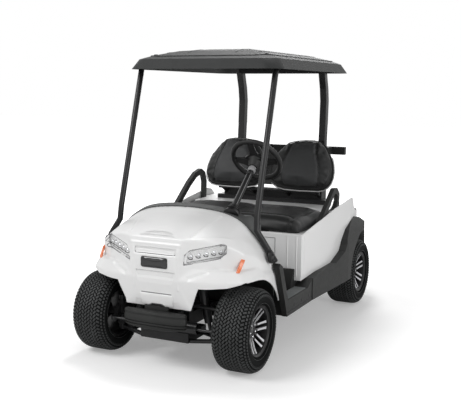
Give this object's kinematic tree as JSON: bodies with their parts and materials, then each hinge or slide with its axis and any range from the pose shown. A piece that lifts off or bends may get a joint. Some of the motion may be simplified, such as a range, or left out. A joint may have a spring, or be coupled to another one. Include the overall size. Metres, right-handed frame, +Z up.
{
  "type": "golf cart",
  "caption": "Two-seat electric golf cart with a white plastic body, black canopy on four posts, bucket-style bench and rear bag well.",
  "frame": {"origin": "on the ground at the middle of the overall length and width", "axes": "front faces -Y, the cart's left is +X, +Z is up"},
  "size_m": [1.208, 2.3, 1.7479],
  "materials": {
    "body_white": "gloss",
    "trim": "satin",
    "roof_plastic": "satin",
    "black_tube": "gloss",
    "rail": "satin",
    "vinyl": "satin",
    "battery": "matte",
    "cast": "matte",
    "steel": "satin",
    "suspension": "satin",
    "lens": "gloss",
    "red_lens": "gloss",
    "tyre": "matte",
    "alloy": "gloss",
    "grip": "satin"
  },
  "bodies": {
    "chassis": {"frame_rails": "rail", "floor_pan": "trim", "front_cowl": "body_white", "dash_cowl": "trim", "front_bumper": "trim", "rear_body": "body_white", "bag_well": "trim", "bag_rack": "trim", "roof": "roof_plastic", "rear_roof_frame": "black_tube", "seat_back_frame": "black_tube", "battery_pack": "battery", "rear_axle": "cast", "steering_rack": "steel", "steering_column": "trim", "pedals": "steel", "rocker_left": "trim", "headlamp_left": "lens", "rear_flare_left": "trim", "tail_lamp_left": "red_lens", "seat_back_left": "vinyl", "hip_restraint_left": "trim", "front_strut_left": "black_tube", "front_suspension_left": "suspension", "rear_suspension_left": "suspension", "rocker_right": "trim", "headlamp_right": "lens", "rear_flare_right": "trim", "tail_lamp_right": "red_lens", "seat_back_right": "vinyl", "hip_restraint_right": "trim", "front_strut_right": "black_tube", "front_suspension_right": "suspension", "rear_suspension_right": "suspension"},
    "knuckle_left": {"knuckle_left": "cast"},
    "knuckle_right": {"knuckle_right": "cast"},
    "tie_rod_left": {"tie_rod_left": "steel"},
    "tie_rod_right": {"tie_rod_right": "steel"},
    "steering_wheel": {"steering_wheel": "grip"},
    "seat_lid": {"seat_bottom": "vinyl"},
    "front_wheel_left": {"front_tyre_left": "tyre", "front_rim_left": "alloy"},
    "front_wheel_right": {"front_tyre_right": "tyre", "front_rim_right": "alloy"},
    "rear_wheel_left": {"rear_tyre_left": "tyre", "rear_rim_left": "alloy"},
    "rear_wheel_right": {"rear_tyre_right": "tyre", "rear_rim_right": "alloy"}
  },
  "joints": [
    {"name": "steer_left", "type": "hinge", "parent": "chassis", "child": "knuckle_left", "pos_m": [0.34, -0.925, 0.229], "axis": [0, 0, 1], "range_deg": [-28, 28]},
    {"name": "steer_right", "type": "hinge", "parent": "chassis", "child": "knuckle_right", "pos_m": [-0.34, -0.925, 0.229], "axis": [0, 0, 1], "range_deg": [-28, 28]},
    {"name": "steering_wheel_turn", "type": "hinge", "parent": "chassis", "child": "steering_wheel", "pos_m": [0.27, -0.416, 1.096], "axis": [0, 0.7771, 0.6293], "range_deg": [-392, 392]},
    {"name": "tie_rod_pivot_left", "type": "hinge", "parent": "knuckle_left", "child": "tie_rod_left", "pos_m": [0.314, -1.055, 0.2303], "axis": [0, 0, 1], "range_deg": [-28, 28]},
    {"name": "tie_rod_pivot_right", "type": "hinge", "parent": "knuckle_right", "child": "tie_rod_right", "pos_m": [-0.314, -1.055, 0.2303], "axis": [0, 0, 1], "range_deg": [-28, 28]},
    {"name": "front_spin_left", "type": "hinge", "parent": "knuckle_left", "child": "front_wheel_left", "pos_m": [0.438, -0.925, 0.229], "axis": [1, 0, 0], "continuous": true},
    {"name": "front_spin_right", "type": "hinge", "parent": "knuckle_right", "child": "front_wheel_right", "pos_m": [-0.438, -0.925, 0.229], "axis": [1, 0, 0], "continuous": true},
    {"name": "rear_spin_left", "type": "hinge", "parent": "chassis", "child": "rear_wheel_left", "pos_m": [0.489, 0.739, 0.229], "axis": [1, 0, 0], "continuous": true},
    {"name": "rear_spin_right", "type": "hinge", "parent": "chassis", "child": "rear_wheel_right", "pos_m": [-0.489, 0.739, 0.229], "axis": [1, 0, 0], "continuous": true},
    {"name": "seat_lift", "type": "hinge", "parent": "chassis", "child": "seat_lid", "pos_m": [0, -0.288, 0.652], "axis": [1, 0, 0], "range_deg": [0, 70]}
  ],
  "couplings": [
    {"joint": "steer_right", "follows": "steer_left", "ratio": 1},
    {"joint": "steering_wheel_turn", "follows": "steer_left", "ratio": 14},
    {"joint": "tie_rod_pivot_left", "follows": "steer_left", "ratio": -1},
    {"joint": "tie_rod_pivot_right", "follows": "steer_left", "ratio": -1}
  ]
}
